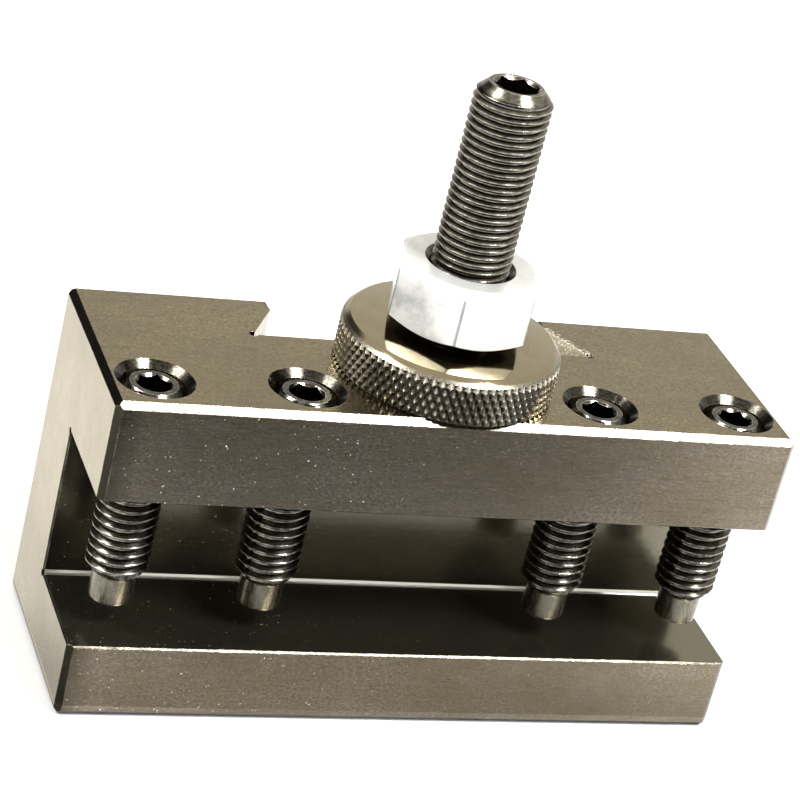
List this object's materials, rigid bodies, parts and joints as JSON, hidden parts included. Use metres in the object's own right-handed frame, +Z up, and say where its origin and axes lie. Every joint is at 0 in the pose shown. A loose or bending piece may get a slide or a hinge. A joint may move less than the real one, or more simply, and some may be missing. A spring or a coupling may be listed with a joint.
{
  "type": "quick change tool post holder",
  "caption": "C-shaped steel tool holder with a front slot, a dovetail groove behind, clamping screws, and a stud with a knurled height nut and a hexagon lock nut.",
  "frame": {"origin": "middle of the whole holder's base, on the plane of the block's bottom face", "axes": "+X along the tool, left to right seen from the slot; +Y from the tool slot towards the dovetail and the post; +Z up along the height stud"},
  "size_m": [0.089, 0.0308, 0.083],
  "materials": {
    "ground_steel": "ground and oiled",
    "screw_steel": "black oxide",
    "stud_steel": "black oxide, worn bright on the crests",
    "knurled_steel": "knurled rim, turned face",
    "zinc_plate": "bright zinc plate"
  },
  "bodies": {
    "block": {"holder_body": "ground_steel"},
    "screw_1": {"set_screw_1": "screw_steel"},
    "screw_2": {"set_screw_2": "screw_steel"},
    "screw_3": {"set_screw_3": "screw_steel"},
    "screw_4": {"set_screw_4": "screw_steel"},
    "stud": {"height_stud": "stud_steel"},
    "height_nut": {"knurled_nut": "knurled_steel"},
    "lock_nut": {"jam_nut": "zinc_plate"}
  },
  "joints": [
    {"name": "set_screw_1_travel", "type": "slide", "parent": "block", "child": "screw_1", "axis": [0, 0, 1], "range_m": [-0.00315, 0.0173]},
    {"name": "set_screw_2_travel", "type": "slide", "parent": "block", "child": "screw_2", "axis": [0, 0, 1], "range_m": [-0.00315, 0.0173]},
    {"name": "set_screw_3_travel", "type": "slide", "parent": "block", "child": "screw_3", "axis": [0, 0, 1], "range_m": [-0.00315, 0.0173]},
    {"name": "set_screw_4_travel", "type": "slide", "parent": "block", "child": "screw_4", "axis": [0, 0, 1], "range_m": [-0.00315, 0.0173]},
    {"name": "height_stud_travel", "type": "slide", "parent": "block", "child": "stud", "axis": [0, 0, 1], "range_m": [-0.0023, 0.004]},
    {"name": "height_nut_travel", "type": "slide", "parent": "block", "child": "height_nut", "axis": [0, 0, 1], "range_m": [0, 0.015]},
    {"name": "lock_nut_travel", "type": "slide", "parent": "height_nut", "child": "lock_nut", "axis": [0, 0, 1], "range_m": [-0.00115, 0.005]}
  ]
}
